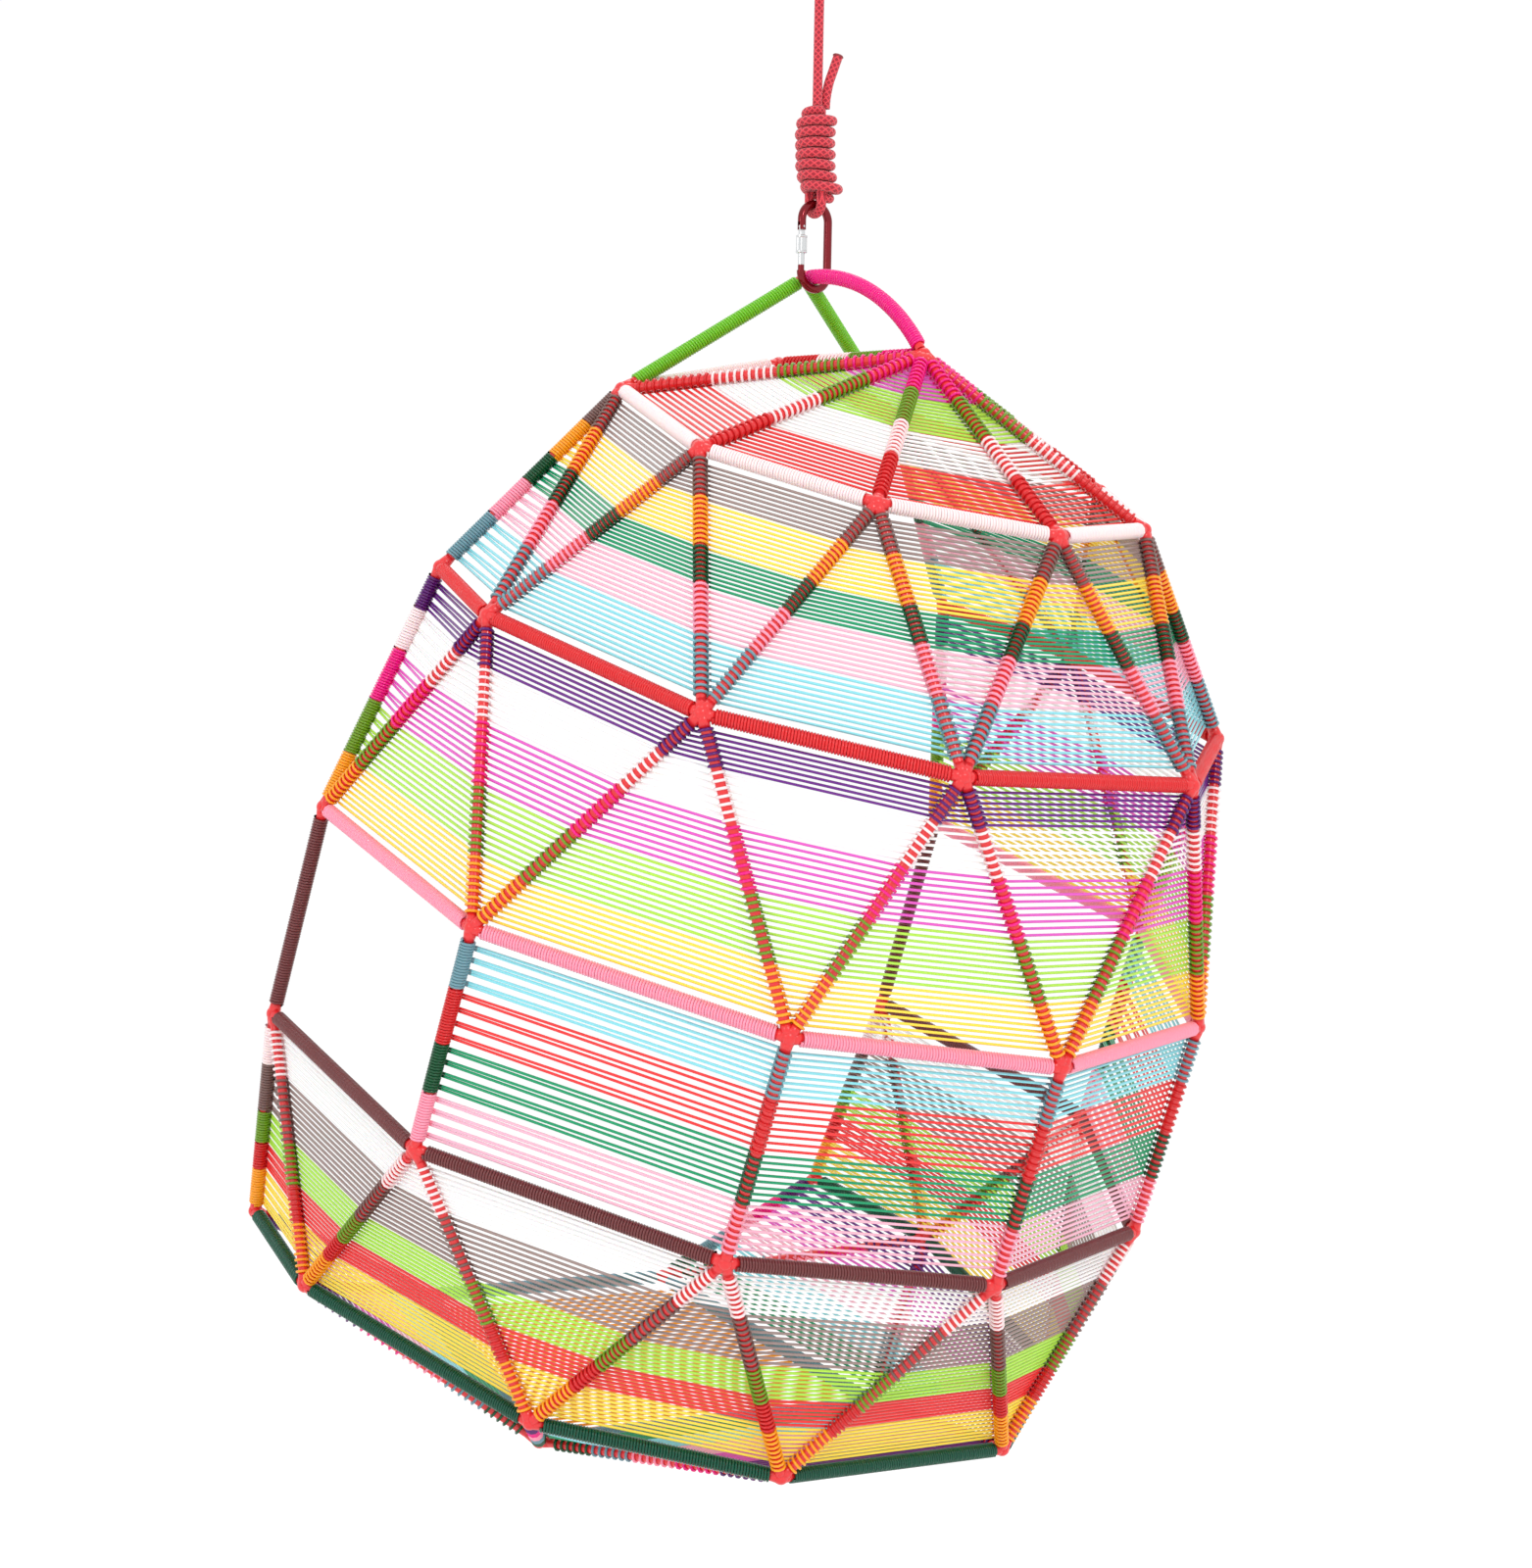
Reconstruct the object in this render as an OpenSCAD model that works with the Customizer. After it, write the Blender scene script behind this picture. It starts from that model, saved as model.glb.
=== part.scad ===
// Hanging pod chair: an egg of thin steel tubes with a large opening in front,
// wound and woven with coloured round cord, hung by a handle, a carabiner and a
// knotted rope from a swivel eye under the ceiling.
// Millimetres, +Z up. The origin is the centre of the ceiling plate's top face.
// The opening faces -Y and the closed back faces +Y.

/* [Egg rings] */
// Radius of the crown ring
crown_r = 318; // [300:1:340]
// Radius of the shoulder ring
shoulder_r = 474; // [440:1:505]
// Radius of the waist ring
waist_r = 540; // [500:1:580]
// Radius of the hip ring
hip_r = 541; // [500:1:580]
// Radius of the base ring
base_r = 505; // [470:1:545]
// Radius of the floor frame
floor_r = 305; // [270:1:350]
// How far the corner posts of the opening stand outside the rings
corner_out = 1.055; // [1:0.005:1.1]

/* [Egg heights] */
// Hub above the crown ring
hub_rise = 135; // [100:1:180]
// Crown ring above the shoulder ring
crown_rise = 246; // [200:1:300]
// Shoulder ring above the waist ring
shoulder_rise = 310; // [260:1:370]
// Waist ring above the hip ring
waist_rise = 275; // [230:1:330]
// Hip ring above the base ring
hip_rise = 271; // [225:1:325]
// Base ring above the floor frame
floor_rise = 118; // [95:1:145]

/* [Egg corners] */
// Crown ring corners, degrees round from the back
crown_turn = [0, 41, 82, 139]; // [0:1:180]
// Shoulder ring corners
shoulder_turn = [22, 58, 101, 126]; // [0:1:180]
// Waist and hip ring corners
waist_turn = [0, 36, 78, 120]; // [0:1:180]
// Base ring corners
base_turn = [20, 54, 98, 121]; // [0:1:180]
// Floor frame corners
floor_turn = [61, 141]; // [0:1:180]
// Front corner of the crown ring, out from the axis
brow_r = 243; // [220:1:270]
// Front corner of the crown ring, above the ring
brow_rise = 57; // [30:1:80]
// How far the whole egg leans back as it hangs, degrees
pod_lean = 19.7; // [15:0.1:25]

/* [Tube and cord] */
// Outer diameter of the frame tube, and of the solid bar of the base and floor
tube_d = 12; // [10:0.5:14]
// Wall of the frame tube
tube_wall = 1.5; // [1:0.1:2.5]
// Diameter of the round woven cord
cord_d = 3.5; // [3:0.1:4]
// Radius of a welded corner
weld_r = 8.5; // [8:0.1:11]
// Gap left for weld metal where two neighbouring tubes meet, half of it
mitre_gap = 0.15; // [0.1:0.05:0.3]
// Where a winding starts, from the corner's centre
winding_start = 38; // [36:1:46]
// Where the winding of a handle leg starts, from its lower corner
leg_winding_start = 52; // [48:1:60]
// Thickness of a woven panel
panel_t = 1.5; // [1:0.1:3]
// Gap between pieces that lie next to each other
fit_gap = 0.8; // [0.4:0.1:1.5]

/* [Handle] */
// Handle top ahead of the egg's axis
handle_y = 231; // [210:1:250]
// Handle top above the hub
handle_rise = 35; // [25:1:50]
// Hanging point behind the handle's front corner
hang_back = 16; // [15:1:20]

/* [Carabiner] */
// Outer length of the carabiner
carabiner_h = 115; // [108:1:124]
// Outer width of the carabiner
carabiner_w = 52; // [50:1:58]
// Bar of the carabiner
bar_d = 10.4; // [9.5:0.1:11]
// Rod of the gate
gate_d = 8; // [7:0.1:9]
// Length of the gate from its pin to the nose
gate_len = 47; // [44:1:50]
// Hinge pin of the gate
pin_d = 3; // [2.5:0.1:3.5]
// Outer diameter of the knurled lock sleeve
sleeve_d = 14; // [13:0.1:16]
// Length of the lock sleeve
sleeve_len = 22; // [18:1:24]
// Running clearance of the lock sleeve and the rope, all round
run_gap = 0.3; // [0.2:0.05:0.5]
// Clearance of a pin or stem in its bore, all round
bore_gap = 0.06; // [0.02:0.01:0.1]

/* [Rope and ceiling] */
// Diameter of the braided rope
rope_d = 12; // [11:0.5:13]
// Ceiling down to the handle
handle_drop = 535; // [535:1:535]
// Length of a wrapped knot
knot_len = 108; // [100:1:110]
// Outer diameter of a wrapped knot
knot_d = 48; // [44:1:52]
// Diameter of the ceiling plate
plate_d = 100; // [95:1:115]
// Thickness of the ceiling plate
plate_t = 5; // [4:0.5:6]
// Screw holes in the ceiling plate
screw_count = 4; // [3:1:6]
// Diameter of a screw hole
screw_d = 6; // [5:0.5:7]
// Pitch circle of the screw holes
screw_pcd = 76; // [70:1:82]
// Depth of the swivel's boss under the plate
boss_h = 20; // [18:1:22]
// Stem of the swivel eye
stem_d = 12; // [11:0.5:13]
// Bar of the swivel eye
eye_bar_d = 10; // [9:0.5:11]
// Hole of the swivel eye
eye_hole_d = 20; // [19:0.5:22]

/* [Hidden] */
$fn = 48;

tube_r = tube_d / 2;
wound_r = tube_r + cord_d;
strand_lift = tube_r / 2;
shank_gap = 0.02;

// ---- the egg's own frame: axis up, waist ring at zero, back towards +Y ----
shoulder_z = shoulder_rise;
crown_z = shoulder_z + crown_rise;
hub_z = crown_z + hub_rise;
hip_z = -waist_rise;
base_z = hip_z - hip_rise;
floor_z = base_z - floor_rise;
hub_back = 18;
shoulder_back = 13;
hip_front = 12;
base_front = 28;
handle_top = [0, -handle_y, hub_z + handle_rise];

// A turn of the egg about the hanging point, so that it leans back as it hangs.
function lean(p) = let (d = p - handle_top, s = sin(pod_lean), c = cos(pod_lean))
    [d.x, d.y * c + d.z * s - hang_back, d.z * c - d.y * s - handle_drop];

function corner(r, a, z, back) = lean([r * sin(a), r * cos(a) + back, z]);

// Corners from the near post of the opening, round the back, to the far post.
function odd_ring(r, turn, z, back) = [
    for (i = [3, 2, 1, 0, -1, -2, -3])
        corner(abs(i) == 3 ? r * corner_out : r, sign(i) * turn[abs(i)], z, back)];
function even_ring(r, turn, z, back) = [
    for (side = [1, -1], i = side > 0 ? [3, 2, 1, 0] : [0, 1, 2, 3])
        corner(i == 3 ? r * corner_out : r, side * turn[i], z, back)];

hub = lean([0, hub_back, hub_z]);
apex = lean(handle_top);
brow = lean([0, -brow_r, crown_z + brow_rise]);
crown = odd_ring(crown_r, crown_turn, crown_z, 0);
shoulder = even_ring(shoulder_r, shoulder_turn, shoulder_z, shoulder_back);
waist = odd_ring(waist_r, waist_turn, 0, 0);
hip = odd_ring(hip_r, waist_turn, hip_z, -hip_front);
base = even_ring(base_r, base_turn, base_z, -base_front);
floor_near = [for (a = [floor_turn[1], floor_turn[0]]) corner(floor_r, a, floor_z, -base_front)];
floor_far = [for (a = [-floor_turn[0], -floor_turn[1]]) corner(floor_r, a, floor_z, -base_front)];
floor_ring = concat(floor_near, floor_far);

// ---- tubes, each a pair of corners ----
function hoop(ring) = [for (i = [0 : len(ring) - 2]) [ring[i], ring[i + 1]]];
function zigzag_down(top, low) = [for (i = [0 : len(top) - 1], j = [0, 1]) [top[i], low[i + j]]];
function zigzag_in(top, low) = [for (i = [0 : len(low) - 1], j = [0, 1]) [top[i + j], low[i]]];

crown_struts = concat([for (p = crown) [hub, p]], [[hub, brow]]);
crown_hoop = concat(hoop(crown), [[crown[6], brow], [brow, crown[0]]]);
shoulder_struts = zigzag_down(crown, shoulder);
waist_struts = zigzag_in(shoulder, waist);
posts = [for (i = [0 : 6]) [waist[i], hip[i]]];
side_posts = [for (i = [1 : 5]) posts[i]];
corner_posts = [posts[0], posts[6]];
base_struts = zigzag_down(hip, base);
floor_struts = [
    [base[0], floor_ring[0]], [base[1], floor_ring[0]],
    [base[1], floor_ring[1]], [base[2], floor_ring[1]], [base[3], floor_ring[1]],
    [base[4], floor_ring[2]], [base[5], floor_ring[2]], [base[6], floor_ring[2]],
    [base[6], floor_ring[3]], [base[7], floor_ring[3]]];
floor_bars = concat(hoop(floor_ring), [[floor_ring[3], floor_ring[0]]]);
legs = [[apex, crown[0]], [apex, crown[6]]];

all_tubes = concat(crown_struts, crown_hoop, shoulder_struts, hoop(shoulder),
    waist_struts, hoop(waist), posts, hoop(hip), base_struts, hoop(base),
    floor_struts, floor_bars, legs);
all_corners = concat([hub, brow], crown, shoulder, waist, hip, base, floor_ring);

// ---- the bowed third leg of the handle ----
arch_run = hub.y - apex.y;
arch_fall = apex.z - hub.z;
arch_r = (arch_run * arch_run + arch_fall * arch_fall) / (2 * arch_fall);
arch_turn = asin(arch_run / arch_r);

// ---- carabiner, in the plane across the pod, hung under the handle ----
bow_r = (carabiner_w - bar_d) / 2;
arch_sag = arch_r - sqrt(pow(arch_r, 2) - pow(hang_back + bar_d / 2, 2));
bow_low_z = -handle_drop - arch_sag - wound_r - run_gap - bar_d / 2 + bow_r;
bow_high_z = bow_low_z + carabiner_h - bar_d - 2 * bow_r;
bow_top_z = bow_high_z + bow_r;
pin_z = bow_high_z - 9;
nose_z = pin_z - gate_len;
tongue_t = gate_d * 0.55;
fork_gap = 0.2;
nose_gap = 0.5;
neck_drop = 6.2;
sleeve_top_z = pin_z - 11;

// ---- rope and ceiling fitting ----
loop_r = (bar_d + rope_d) / 2 + run_gap;
eye_loop_r = (eye_bar_d + rope_d) / 2 + run_gap;
eye_r = (eye_hole_d + eye_bar_d) / 2;
collar_t = 5;
collar_d = 22;
washer_t = 1.5;
boss_d = 34;
lip_h = 5;
roof_t = 2;
boss_low_z = -plate_t - boss_h;
eye_z = boss_low_z - 6 - eye_r - eye_bar_d / 2;
eye_bar_z = eye_z - eye_r;
loop_neck = 14;
upper_knot_z = eye_bar_z - loop_neck;
lower_knot_z = bow_top_z + loop_neck;
knot_round = 8;
rope_top_z = upper_knot_z - knot_len;
rope_low_z = lower_knot_z + knot_len;
tail_points = [[-13, 0, 0.6], [-14, 1, 12], [-16, 3, 24], [-19, 5, 36], [-23, 7, 48],
    [-27, 9, 58], [-30, 11, 68]];

// ---- shapes ----
module along(p, q) {
    d = q - p;
    translate(p) rotate([0, acos(d.z / norm(d)), atan2(d.y, d.x)]) children();
}

// A tube between two points, or a solid bar if it has no inner radius.
module pipe(p, q, r_out, r_in, cut_p, cut_q) {
    len_pq = norm(q - p);
    along(p, q) translate([0, 0, cut_p]) difference() {
        cylinder(r = r_out, h = len_pq - cut_p - cut_q);
        if (r_in > 0) translate([0, 0, -1]) cylinder(r = r_in, h = len_pq - cut_p - cut_q + 2);
    }
}

// Takes away what lies past the plane half way between two tubes at a corner.
module mitre(p, d, e) {
    n = (d - e) / norm(d - e);
    along(p, p + n) translate([-50, -50, mitre_gap - 60]) cube([100, 100, 60]);
}

// A tube between two corners: hollow, from one ball of weld to the other, and
// mitred to every neighbour that leaves the same corner close beside it.
module strut(p, q, bore) difference() {
    pipe(p, q, tube_r, bore, weld_r + shank_gap, weld_r + shank_gap);
    for (ends = [[p, q], [q, p]]) {
        d = (ends[1] - ends[0]) / norm(q - p);
        for (t = all_tubes) if (t[0] == ends[0] || t[1] == ends[0]) {
            far = t[0] == ends[0] ? t[1] : t[0];
            e = (far - ends[0]) / norm(far - ends[0]);
            if (far != ends[1] && d * e > 0.25) mitre(ends[0], d, e);
        }
    }
}

module tubes(list) for (t = list) strut(t[0], t[1], tube_r - tube_wall);
module bars(list) for (t = list) strut(t[0], t[1], 0);

module sleeves(list)
    for (t = list)
        pipe(t[0], t[1], wound_r, tube_r + shank_gap, winding_start, winding_start);

module sphere_at(p, r) translate(p) sphere(r = r);

// One colour's flat run of strands between two neighbouring struts, from
// fraction f0 to f1 of the way down them. It stops short of both windings, and
// where two struts meet it starts where they are far enough apart.
module panel(s, t, f0, f1) {
    top_gap = norm(t[0] - s[0]);
    low_gap = norm(t[1] - s[1]);
    across = (t[0] + t[1] - s[0] - s[1]) / norm(t[0] + t[1] - s[0] - s[1]);
    slope_s = norm(cross(across, (s[1] - s[0]) / norm(s[1] - s[0])));
    slope_t = norm(cross(across, (t[1] - t[0]) / norm(t[1] - t[0])));
    edge_s = (wound_r + fit_gap) / slope_s;
    edge_t = (wound_r + fit_gap) / slope_t;
    need = edge_s + edge_t + 4;
    open_at = (need - top_gap) / (low_gap - top_gap + 0.001);
    a = top_gap < low_gap ? max(f0, open_at) : f0;
    b = top_gap > low_gap ? min(f1, open_at) : f1;
    if (b - a > 0.01) {
        ps = [for (f = [a, b]) s[0] + f * (s[1] - s[0])];
        pt = [for (f = [a, b]) t[0] + f * (t[1] - t[0])];
        dirs = [for (i = [0, 1]) (pt[i] - ps[i]) / norm(pt[i] - ps[i])];
        flat = cross(dirs[0] + dirs[1], s[1] - s[0] + t[1] - t[0]);
        middle = (ps[0] + ps[1] + pt[0] + pt[1]) / 4;
        out = flat / norm(flat) * sign(flat * (middle - waist_centre));
        face = [ps[0] + edge_s * dirs[0], pt[0] - edge_t * dirs[0],
            pt[1] - edge_t * dirs[1], ps[1] + edge_s * dirs[1]];
        slab([for (p = face) p + (strand_lift - panel_t / 2) * out],
            [for (p = face) p + (strand_lift + panel_t / 2) * out]);
    }
}
waist_centre = (waist[0] + waist[6] + waist[3] + waist[3]) / 4;

// A four-cornered slab with any two opposite faces, wound outwards either way.
module slab(inner, outer) {
    turned = cross(inner[1] - inner[0], inner[2] - inner[0]) * (outer[0] - inner[0]) > 0;
    low = turned ? inner : outer;
    high = turned ? outer : inner;
    polyhedron(points = concat(low, high), faces = [
        [0, 1, 2], [0, 2, 3], [4, 6, 5], [4, 7, 6],
        for (i = [0 : 3]) let (j = (i + 1) % 4) each [[i, i + 4, j + 4], [i, j + 4, j]]]);
}

module weave(struts, f0, f1, closed = false) {
    for (i = [0 : len(struts) - 2]) panel(struts[i], struts[i + 1], f0, f1);
    if (closed) panel(struts[len(struts) - 1], struts[0], f0, f1);
}

// A tube swept along a short list of points, for the rope.
module rope_tube(points, r, sides = 12) {
    n = len(points);
    rings = [for (i = [0 : n - 1]) let (
        d = points[min(i + 1, n - 1)] - points[max(i - 1, 0)],
        w = d / norm(d), u0 = cross([0, 1, 0], w), u = u0 / norm(u0), v = cross(w, u))
        each [for (k = [0 : sides - 1]) points[i] + r * (cos(k * 360 / sides) * u
            + sin(k * 360 / sides) * v)]];
    polyhedron(points = rings, faces = concat(
        [[for (k = [0 : sides - 1]) k]],
        [for (i = [0 : n - 2], k = [0 : sides - 1]) let (m = (k + 1) % sides)
            [i * sides + k, (i + 1) * sides + k, (i + 1) * sides + m, i * sides + m]],
        [[for (k = [sides - 1 : -1 : 0]) (n - 1) * sides + k]]));
}

// ---- ceiling fitting ----
module ceiling_plate() color("gainsboro") difference() {
    rotate_extrude() polygon([
        [0, 0], [plate_d / 2, 0], [plate_d / 2, -plate_t],
        [boss_d / 2, -plate_t], [boss_d / 2, boss_low_z],
        [stem_d / 2 + bore_gap, boss_low_z], [stem_d / 2 + bore_gap, boss_low_z + lip_h],
        [collar_d / 2 + 1, boss_low_z + lip_h], [collar_d / 2 + 1, -roof_t], [0, -roof_t]]);
    for (i = [0 : screw_count - 1]) rotate(i * 360 / screw_count + 45)
        translate([screw_pcd / 2, 0, -plate_t - 1]) cylinder(d = screw_d, h = plate_t + 2);
}

module bearing_washer() color("darkgoldenrod")
    translate([0, 0, boss_low_z + lip_h]) difference() {
        cylinder(d = collar_d, h = washer_t);
        translate([0, 0, -1]) cylinder(r = stem_d / 2 + bore_gap, h = washer_t + 2);
    }

module swivel_eye() color("silver") union() {
    translate([0, 0, eye_z + eye_r - 1]) cylinder(
        d = stem_d, h = boss_low_z + lip_h + washer_t + 1 - eye_z - eye_r + 1);
    translate([0, 0, boss_low_z + lip_h + washer_t + bore_gap])
        cylinder(d = collar_d - 1, h = collar_t);
    translate([0, 0, eye_z]) rotate([90, 0, 0]) rotate_extrude()
        translate([eye_r, 0]) circle(d = eye_bar_d);
}

// ---- rope ----
module rope_line() color("crimson") rope_tube(
    [for (z = [rope_top_z, (rope_top_z + rope_low_z) / 2, rope_low_z]) [0, 0, z]], rope_d / 2);

// A bight of rope round a bar, and the wrapped knot that closes it.
module knot(bar_z, bight_r, up) color("crimson") {
    reach = loop_neck + 2;
    translate([0, 0, bar_z]) mirror([0, 0, up > 0 ? 0 : 1]) {
        rotate([90, 0, 90]) rotate([0, 0, 180]) rotate_extrude(angle = 180)
            translate([bight_r, 0]) circle(d = rope_d);
        for (s = [-1, 1]) translate([0, s * bight_r, 0]) cylinder(d = rope_d, h = reach);
        translate([0, 0, loop_neck]) rotate_extrude() polygon([
            [0, 0], [knot_d / 2 - knot_round, 0], [knot_d / 2, knot_round],
            [knot_d / 2, knot_len - knot_round], [knot_d / 2 - knot_round, knot_len],
            [0, knot_len]]);
    }
}

module upper_knot() knot(eye_bar_z, eye_loop_r, -1);
module lower_knot() knot(bow_top_z, loop_r, 1);

module rope_tail() color("crimson") rope_tube(
    [for (p = tail_points) p + [0, 0, rope_low_z]], rope_d / 2, 10);

// ---- carabiner ----
module half_bow(z, up) translate([0, 0, z]) rotate([90, 0, 0])
    rotate([0, 0, up ? 0 : 180]) rotate_extrude(angle = 180)
        translate([bow_r, 0]) circle(d = bar_d);

module carabiner_body() color("firebrick") difference() {
    union() {
        half_bow(bow_high_z, true);
        half_bow(bow_low_z, false);
        translate([-bow_r, 0, bow_low_z]) cylinder(d = bar_d, h = bow_high_z - bow_low_z);
        translate([bow_r, 0, pin_z - 4]) cylinder(d = bar_d, h = bow_high_z - pin_z + 4);
        translate([bow_r, 0, bow_low_z]) cylinder(d = gate_d, h = nose_z - nose_gap - bow_low_z);
    }
    // fork that holds the gate's tongue, open towards the inside and the nose
    translate([bow_r - bar_d, -tongue_t / 2 - fork_gap, pin_z - 5])
        cube([2 * bar_d, tongue_t + 2 * fork_gap, 10.5]);
    translate([bow_r, bar_d, pin_z]) rotate([90, 0, 0]) cylinder(d = pin_d, h = 2 * bar_d);
}

module gate_pin() color("silver")
    translate([bow_r, bar_d / 2 - 0.5, pin_z]) rotate([90, 0, 0])
        cylinder(d = pin_d, h = bar_d - 1);

module carabiner_gate() color("silver") difference() {
    union() {
        translate([bow_r, 0, nose_z]) cylinder(d = gate_d, h = gate_len - neck_drop);
        translate([bow_r, tongue_t / 2, pin_z]) rotate([90, 0, 0])
            cylinder(d = gate_d - 0.4, h = tongue_t);
        translate([bow_r - gate_d / 2 + 0.6, -tongue_t / 2, pin_z - neck_drop - 1])
            cube([gate_d - 1.2, tongue_t, neck_drop + 1]);
    }
    translate([bow_r, bar_d, pin_z]) rotate([90, 0, 0])
        cylinder(r = pin_d / 2 + bore_gap, h = 2 * bar_d);
}

module lock_sleeve() color("whitesmoke")
    translate([bow_r, 0, sleeve_top_z - sleeve_len]) difference() {
        cylinder(d = sleeve_d, h = sleeve_len);
        translate([0, 0, -1]) cylinder(d = gate_d + 2 * run_gap, h = sleeve_len + 2);
    }

// ---- handle ----
module handle_legs() color("red") tubes(legs);
module handle_leg_windings() color("yellowgreen") for (t = legs)
    pipe(t[0], t[1], wound_r, tube_r + shank_gap, winding_start, leg_winding_start);

module arch(r_out, r_in, cut_apex, cut_hub) {
    a = cut_apex / arch_r * 180 / PI;
    b = cut_hub / arch_r * 180 / PI;
    translate([0, apex.y, apex.z - arch_r]) rotate([90, 0, 90])
        rotate([0, 0, 90 - arch_turn + b]) rotate_extrude(angle = arch_turn - a - b)
            translate([arch_r, 0]) difference() {
                circle(r = r_out);
                circle(r = r_in);
            }
}

module handle_arch() color("red") difference() {
    arch(tube_r, tube_r - tube_wall, weld_r + shank_gap, weld_r + shank_gap);
    mitre(hub, [0, -cos(arch_turn), sin(arch_turn)], (brow - hub) / norm(brow - hub));
}
module handle_arch_winding() color("deeppink")
    arch(wound_r, tube_r + shank_gap, weld_r + 0.5, winding_start);

// ---- frame ----
module frame_joints() color("red") {
    for (p = all_corners) sphere_at(p, weld_r);
    sphere_at(apex, weld_r);
}
module crown_frame() color("red") tubes(concat(crown_struts, crown_hoop));
module shoulder_frame() color("red") tubes(concat(shoulder_struts, hoop(shoulder)));
module waist_frame() color("red") tubes(concat(waist_struts, hoop(waist)));
module side_frame() color("red") tubes(concat(posts, hoop(hip)));
module base_frame() color("red") bars(concat(base_struts, hoop(base)));
module floor_frame() color("red") bars(concat(floor_struts, floor_bars));

// ---- windings ----
module crown_hoop_winding() color("white") sleeves(crown_hoop);
module shoulder_hoop_winding() color("crimson") sleeves(hoop(shoulder));
module waist_hoop_winding() color("lightpink") sleeves(hoop(waist));
module hip_hoop_winding() color("brown") sleeves(concat(hoop(hip), corner_posts));
module base_hoop_winding() color("darkgreen") sleeves(hoop(base));
module floor_bar_winding() color("darkturquoise") sleeves(floor_bars);
module strut_windings() color("tomato") sleeves(concat(crown_struts, shoulder_struts,
    waist_struts, side_posts, base_struts, floor_struts));

// ---- weave ----
module crown_cord_magenta() color("deeppink") weave(crown_struts, 0.05, 0.26, true);
module crown_cord_lime() color("yellowgreen") weave(crown_struts, 0.27, 0.48, true);
module crown_cord_white() color("white") weave(crown_struts, 0.49, 0.70, true);
module crown_cord_red() color("red") weave(crown_struts, 0.71, 0.93, true);

module shoulder_cord_taupe() color("rosybrown") weave(shoulder_struts, 0.05, 0.19);
module shoulder_cord_yellow() color("gold") weave(shoulder_struts, 0.20, 0.38);
module shoulder_cord_green() color("seagreen") weave(shoulder_struts, 0.39, 0.52);
module shoulder_cord_pink() color("pink") weave(shoulder_struts, 0.53, 0.71);
module shoulder_cord_cyan() color("paleturquoise") weave(shoulder_struts, 0.72, 0.93);

module waist_cord_purple() color("indigo") weave(waist_struts, 0.05, 0.17);
module waist_cord_white() color("white") weave(waist_struts, 0.18, 0.34);
module waist_cord_magenta() color("orchid") weave(waist_struts, 0.35, 0.55);
module waist_cord_lime() color("yellowgreen") weave(waist_struts, 0.56, 0.77);
module waist_cord_yellow() color("gold") weave(waist_struts, 0.78, 0.94);

module side_cord_cyan() color("paleturquoise") weave(side_posts, 0.06, 0.265);
module side_cord_red() color("red") weave(side_posts, 0.275, 0.51);
module side_cord_green() color("seagreen") weave(side_posts, 0.52, 0.735);
module side_cord_pink() color("pink") weave(side_posts, 0.745, 0.94);

module base_cord_white() color("white") weave(base_struts, 0.06, 0.24);
module base_cord_taupe() color("rosybrown") weave(base_struts, 0.25, 0.48);
module base_cord_lime() color("yellowgreen") weave(base_struts, 0.49, 0.64);
module base_cord_red() color("red") weave(base_struts, 0.65, 0.77);
module base_cord_yellow() color("gold") weave(base_struts, 0.78, 0.94);

module floor_cord_purple() color("indigo") weave(floor_struts, 0.07, 0.24);
module floor_cord_magenta() color("deeppink") weave(floor_struts, 0.25, 0.42);
module floor_cord_pink() color("pink") weave(floor_struts, 0.43, 0.60);
module floor_cord_cyan() color("darkturquoise") weave(floor_struts, 0.61, 0.77);
module floor_cord_green() color("seagreen") weave(floor_struts, 0.78, 0.92);
module floor_centre_cord() color("orange") panel(
    [floor_ring[0], floor_ring[1]], [floor_ring[3], floor_ring[2]], 0.06, 0.94);

ceiling_plate();
bearing_washer();
swivel_eye();
rope_line();
upper_knot();
lower_knot();
rope_tail();
carabiner_body();
gate_pin();
carabiner_gate();
lock_sleeve();
handle_legs();
handle_arch();
handle_leg_windings();
handle_arch_winding();
frame_joints();
crown_frame();
shoulder_frame();
waist_frame();
side_frame();
base_frame();
floor_frame();
crown_hoop_winding();
shoulder_hoop_winding();
waist_hoop_winding();
hip_hoop_winding();
base_hoop_winding();
floor_bar_winding();
strut_windings();
crown_cord_magenta();
crown_cord_lime();
crown_cord_white();
crown_cord_red();
shoulder_cord_taupe();
shoulder_cord_yellow();
shoulder_cord_green();
shoulder_cord_pink();
shoulder_cord_cyan();
waist_cord_purple();
waist_cord_white();
waist_cord_magenta();
waist_cord_lime();
waist_cord_yellow();
side_cord_cyan();
side_cord_red();
side_cord_green();
side_cord_pink();
base_cord_white();
base_cord_taupe();
base_cord_lime();
base_cord_red();
base_cord_yellow();
floor_cord_purple();
floor_cord_magenta();
floor_cord_pink();
floor_cord_cyan();
floor_cord_green();
floor_centre_cord();
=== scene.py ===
import math

import bmesh
import bpy
from mathutils import Matrix, Vector


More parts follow.
